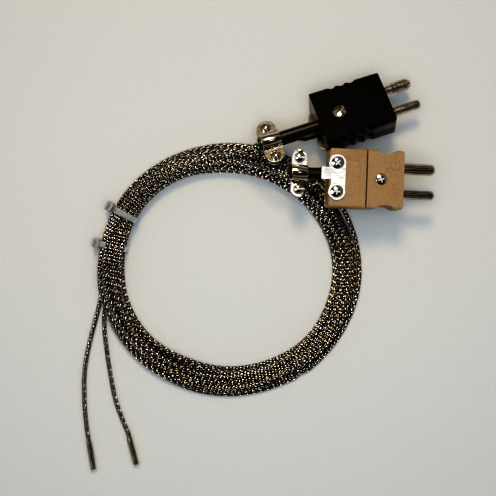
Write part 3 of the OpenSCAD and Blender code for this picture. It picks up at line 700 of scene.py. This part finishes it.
def make_looks():
    """Every material of the part, by the name of its slot."""
    looks = {}

    look = looks["black_plastic"] = Look(
        "black_plastic", (0.002, 0.002, 0.002), roughness=0.22, Specular_IOR_Level=0.22)
    look.colors(look.noise(1.2, 4), [(0.35, (0.0015, 0.0015, 0.0015)), (0.7, (0.004, 0.0035, 0.003))])
    look.spread(look.noise(0.9, 4), "Roughness", 0.17, 0.27)
    look.bump(look.noise(0.35, 2), 0.012)
    look.bump(look.noise(4, 2), 0.03)

    look = looks["tan_plastic"] = Look("tan_plastic", (0.38, 0.215, 0.085), roughness=0.42)
    look.colors(look.noise(0.5, 5), [
        (0.30, (0.24, 0.132, 0.050)), (0.45, (0.335, 0.200, 0.078)), (0.62, (0.375, 0.228, 0.096)),
        (0.75, (0.47, 0.31, 0.15))])
    look.spread(look.noise(1.1, 3), "Roughness", 0.34, 0.55)
    look.bump(look.noise(0.3, 2), 0.012)
    look.bump(look.noise(5, 2), 0.03)

    look = looks["nickel"] = Look(
        "nickel", (0.80, 0.77, 0.72), metallic=1.0, roughness=0.24, Specular_Tint=(0.30, 0.26, 0.20, 1))
    look.colors(look.noise(3.5, 3), [(0.3, (0.60, 0.57, 0.52)), (0.55, (0.76, 0.75, 0.73))])
    look.spread(look.noise(0.6, 4, (5, 1, 1)), "Roughness", 0.10, 0.22)
    look.bump(look.noise(0.4, 3, (8, 1, 1)), 0.003)

    look = looks["pin_nickel"] = Look(
        "pin_nickel", (0.60, 0.56, 0.50), metallic=1.0, roughness=0.2, Specular_Tint=(0.12, 0.09, 0.05, 1))
    look.colors(look.noise(3.0, 3), [(0.3, (0.42, 0.36, 0.28)), (0.6, (0.62, 0.59, 0.54))])
    look.spread(look.noise(0.5, 4, (8, 1, 1)), "Roughness", 0.12, 0.22)
    look.bump(look.noise(0.4, 3, (8, 1, 1)), 0.002)

    look = looks["brass"] = Look("brass", (0.78, 0.58, 0.27), metallic=1.0, roughness=0.28)
    look.colors(look.noise(2, 3), [(0.35, (0.66, 0.46, 0.19)), (0.65, (0.85, 0.65, 0.33))])
    look.bump(look.noise(0.4, 3), 0.006)

    look = looks["braid"] = Look(
        "braid", (0.50, 0.49, 0.48), metallic=1.0, roughness=0.20, Specular_Tint=(0.2, 0.18, 0.16, 1))
    # Painted highlight where the bundles stand out and painted shade where they dive under each other,
    # varied at random by a noise
    painted_glint_and_shade = look.add(look.value("raised"), look.noise(3, 3), 0.35)
    look.colors(painted_glint_and_shade, [
        (0.66, (0.003, 0.003, 0.003)), (0.84, (0.12, 0.115, 0.11)), (1.0, (0.58, 0.57, 0.56))])
    look.spread(look.noise(3, 3), "Roughness", 0.16, 0.22)
    look.bump(look.stripes("across", WIRES), 0.003)

    # Near black: painted shade of the gaps between the braid's wires, with a slight random tone
    look = looks["lead_core"] = Look(
        "lead_core", (0.004, 0.004, 0.004), roughness=0.8, Specular_IOR_Level=0.2)
    look.colors(look.noise(0.6, 3), [(0.3, (0.003, 0.003, 0.003)), (0.7, (0.008, 0.007, 0.007))])
    look.bump(look.noise(0.25, 2), 0.03)

    look = looks["sheath_steel"] = Look("sheath_steel", (0.72, 0.69, 0.64), metallic=1.0, roughness=0.20)
    look.colors(look.noise(1.5, 3, (1, 6, 1)), [(0.3, (0.58, 0.53, 0.46)), (0.6, (0.80, 0.77, 0.73))])
    look.spread(look.noise(0.4, 3, (1, 10, 1)), "Roughness", 0.12, 0.28)
    look.bump(look.noise(0.3, 3, (1, 10, 1)), 0.005)

    look = looks["sleeve_rubber"] = Look(
        "sleeve_rubber", (0.006, 0.006, 0.006), roughness=0.35, Specular_IOR_Level=0.4)
    look.spread(look.noise(0.8, 3), "Roughness", 0.26, 0.42)
    look.bump(look.noise(0.3, 3), 0.02)

    look = looks["tie_nylon"] = Look(
        "tie_nylon", (0.40, 0.40, 0.37), roughness=0.36, Transmission_Weight=0.35, IOR=1.45)
    look.colors(look.noise(1.5, 3), [(0.3, (0.36, 0.36, 0.33)), (0.7, (0.46, 0.46, 0.42))])
    look.spread(look.noise(0.7, 3), "Roughness", 0.28, 0.46)
    look.bump(look.noise(0.5, 2), 0.02)

    look = looks["white_insulation"] = Look("white_insulation", (0.72, 0.70, 0.64), roughness=0.5)
    look.bump(look.noise(0.4, 3), 0.02)

    look = looks["red_insulation"] = Look("red_insulation", (0.42, 0.03, 0.02), roughness=0.5)
    look.bump(look.noise(0.4, 3), 0.02)

    look = looks["bare_wire"] = Look("bare_wire", (0.62, 0.56, 0.50), metallic=1.0, roughness=0.3)
    look.bump(look.noise(0.3, 3), 0.01)

    look = looks["ceramic_fill"] = Look("ceramic_fill", (0.70, 0.68, 0.62), roughness=0.9)
    look.bump(look.noise(0.3, 4), 0.04)
    return {name: look.material for name, look in looks.items()}


# ---------- Pieces ----------

# The pins have a darker plating than the other nickelled parts
PIN_NODES = ("black_pos_pin", "black_neg_pin", "tan_pos_pin", "tan_neg_pin")
# Parts whose edges are eased, and by how much
MOULDED_NODES = ("black_base", "black_cover", "tan_base", "tan_front_cover", "tan_rear_cap")
MOULDED_EDGE = 0.25
PRESSED_NODES = ("black_bracket", "tan_bracket", "black_clamp_saddle", "tan_clamp_saddle")
PRESSED_EDGE = 0.12
# Points that are joined and faces that count as one before the edges are eased
JOINED_WITHIN = 0.001
FLAT_ANGLE = math.radians(0.5)
EDGE_ANGLE = math.radians(40)
EDGE_STEPS = 2
# Each tie's node, its angle and the first turn of a lead that it holds
TIES = (("upper_tie", UPPER_TIE_ANGLE, ALL_TURNS), ("lower_tie", LOWER_TIE_ANGLE, OVER_TURNS))


def ease_edges(node, width):
    """Rounds a part's sharp edges."""
    node.modifiers.new("joined", "WELD").merge_threshold = JOINED_WITHIN * MM
    flat = node.modifiers.new("whole faces", "DECIMATE")
    flat.decimate_type = "DISSOLVE"
    flat.angle_limit = FLAT_ANGLE
    ease = node.modifiers.new("eased edges", "BEVEL")
    ease.width = width * MM
    ease.segments = EDGE_STEPS
    ease.limit_method = "ANGLE"
    ease.angle_limit = EDGE_ANGLE
    ease.harden_normals = True


def add_lead(strand, looks):
    """One lead with its braid, in place of the CAD's plain stretches and half coil."""
    name = strand.name
    line = lead_line(strand)
    lead = core(name + "_lead", line, looks["lead_core"])
    wires = [
        braid(f"{name}_braid_{way}_{carrier + 1}", line, hand, carrier, looks["braid"])
        for way, hand in (("left", 1), ("right", -1)) for carrier in range(CARRIERS)]
    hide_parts(f"{name}_lead_start", f"{name}_lead_tail", COIL_NODE[name])


def assemble():
    """Gives the CAD's parts their looks and eased edges, and adds the leads and the ties."""
    looks = make_looks()
    slot_of = {part["node"]: part["material_slot"] for part in frame["record"]["subparts"]}
    for name, node in nodes.items():
        node.data.materials.clear()
        node.data.materials.append(looks["pin_nickel" if name in PIN_NODES else slot_of[name]])
    for names, width in ((MOULDED_NODES, MOULDED_EDGE), (PRESSED_NODES, PRESSED_EDGE)):
        for name in names:
            ease_edges(nodes[name], width)
    strands = [Strand(name) for name in LEADS]
    settle(strands)
    for strand in strands:
        add_lead(strand, looks)
    for name, angle, from_turn in TIES:
        pieces = cable_tie(name, angle, strands, from_turn, looks["tie_nylon"])
        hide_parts(name)


# ---------- Floor, light and camera ----------

CAMERA_AT = Vector((-4.0, 11.4, 450.0)) * MM
FIELD_OF_VIEW = math.radians(27.86)
SENSOR_WIDTH = 36
FLOOR_SIDE = 3.0
WHITE = (1, 1, 1)
# How far the lamps stand from the middle of the table, in metres
LAMP_DISTANCE = 1.1
# The key lamp: warm, from beyond the edge of the table that is the picture's top
KEY_ELEVATION = math.radians(57)
KEY_TOWARD = (-0.05, math.cos(KEY_ELEVATION), math.sin(KEY_ELEVATION))
KEY_SIDE = 0.30
KEY_POWER = 3.4
KEY_COLOR = (1.0, 0.80, 0.52)
# A small white lamp overhead, which the tan plug's flat metal mirrors
TOP_TOWARD = (0.24, 0.12, 0.96)
TOP_SIDE = 0.22
TOP_POWER = 0.12
# A broad even light over the middle of the table, which the metal doesn't mirror
OVERHEAD_HEIGHT = 0.34
OVERHEAD_SIDE = 0.3
OVERHEAD_POWER = 0.44
OVERHEAD_COLOR = (0.90, 0.95, 1.0)
# A lamp that only glossy surfaces mirror, so that strands running away from the key glint too
GLINT_ELEVATION = math.radians(58)
GLINT_TOWARD = (-math.cos(GLINT_ELEVATION), 0, math.sin(GLINT_ELEVATION))
GLINT_SIDE = 0.30
GLINT_POWER = 3.4
GLINT_COLOR = (1.0, 0.94, 0.86)
# The room's even fill, and what metal mirrors of it: how far up the direction points, and the colour
FILL_COLOR = (0.17, 0.215, 0.30)
ROOM_STOPS = [
    (0.0, (0.10, 0.08, 0.06)), (0.2, (0.08, 0.07, 0.055)), (0.40, (0.006, 0.006, 0.006)),
    (0.62, (0.24, 0.20, 0.13)), (0.74, (0.008, 0.008, 0.008)), (0.95, (0.015, 0.015, 0.017)),
]
# A Mix node's sockets for colours, which share their names with its other sockets
MIX_FACTOR = 0
MIX_FIRST = 6
MIX_SECOND = 7
MIX_RESULT = 2


def lamp(name, toward, side, power, color):
    """A round soft lamp that shines on the middle of the table."""
    light = bpy.data.lights.new(name, "AREA")
    light.shape = "DISK"
    light.size = side
    light.energy = power
    light.color = color
    piece = bpy.data.objects.new(name, light)
    toward = Vector(toward).normalized()
    piece.location = toward * LAMP_DISTANCE
    piece.rotation_euler = toward.to_track_quat("Z", "Y").to_euler()
    bpy.context.scene.collection.objects.link(piece)
    return piece


def add_floor():
    """A plain pale table of matt paper."""
    look = Look("pale_paper", (0.60, 0.585, 0.53), roughness=0.85)
    look.colors(look.noise(1.0, 4), [(0.3, (0.580, 0.565, 0.510)), (0.7, (0.620, 0.605, 0.550))])
    look.bump(look.noise(0.6, 3), 0.02)
    half = FLOOR_SIDE / 2
    corners = [(-half, -half, 0), (half, -half, 0), (half, half, 0), (-half, half, 0)]
    mesh = bpy.data.meshes.new("floor")
    mesh.from_pydata(corners, [], [(0, 1, 2, 3)])
    mesh.materials.append(look.material)
    floor = bpy.data.objects.new("floor", mesh)
    bpy.context.scene.collection.objects.link(floor)


def add_lamps():
    """The studio's four lamps."""
    lamp("key", KEY_TOWARD, KEY_SIDE, KEY_POWER, KEY_COLOR)
    lamp("top", TOP_TOWARD, TOP_SIDE, TOP_POWER, WHITE)
    overhead = lamp("overhead", (0, 0, 1), OVERHEAD_SIDE, OVERHEAD_POWER, OVERHEAD_COLOR)
    overhead.location = (0, 0, OVERHEAD_HEIGHT)
    overhead.visible_glossy = False
    overhead.visible_camera = False
    glint = lamp("glint", GLINT_TOWARD, GLINT_SIDE, GLINT_POWER, GLINT_COLOR)
    glint.visible_diffuse = False


def add_room():
    """The room round the table, darker in the metal's reflections than in the even fill that it gives."""
    world = bpy.data.worlds.new("studio")
    bpy.context.scene.world = world
    world.use_nodes = True
    tree = world.node_tree
    background = tree.nodes["Background"]
    direction = tree.nodes.new("ShaderNodeTexCoord")
    split = tree.nodes.new("ShaderNodeSeparateXYZ")
    ramp = tree.nodes.new("ShaderNodeValToRGB")
    set_stops(ramp, ROOM_STOPS)
    path = tree.nodes.new("ShaderNodeLightPath")
    fill = tree.nodes.new("ShaderNodeMix")
    fill.data_type = "RGBA"
    fill.inputs[MIX_SECOND].default_value = (*FILL_COLOR, 1)
    tree.links.new(direction.outputs["Generated"], split.inputs["Vector"])
    tree.links.new(split.outputs["Z"], ramp.inputs["Fac"])
    tree.links.new(path.outputs["Is Diffuse Ray"], fill.inputs[MIX_FACTOR])
    tree.links.new(ramp.outputs["Color"], fill.inputs[MIX_FIRST])
    tree.links.new(fill.outputs[MIX_RESULT], background.inputs["Color"])


def add_camera():
    """A camera straight above the table, as the photograph was taken."""
    data = bpy.data.cameras.new("camera")
    data.sensor_width = SENSOR_WIDTH
    data.lens = SENSOR_WIDTH / 2 / math.tan(FIELD_OF_VIEW / 2)
    camera = bpy.data.objects.new("camera", data)
    camera.location = CAMERA_AT
    scene = bpy.context.scene
    scene.collection.objects.link(camera)
    scene.camera = camera
    scene.view_settings.view_transform = "Standard"
    scene.view_settings.look = "Very High Contrast"


assemble()
add_floor()
add_lamps()
add_room()
add_camera()
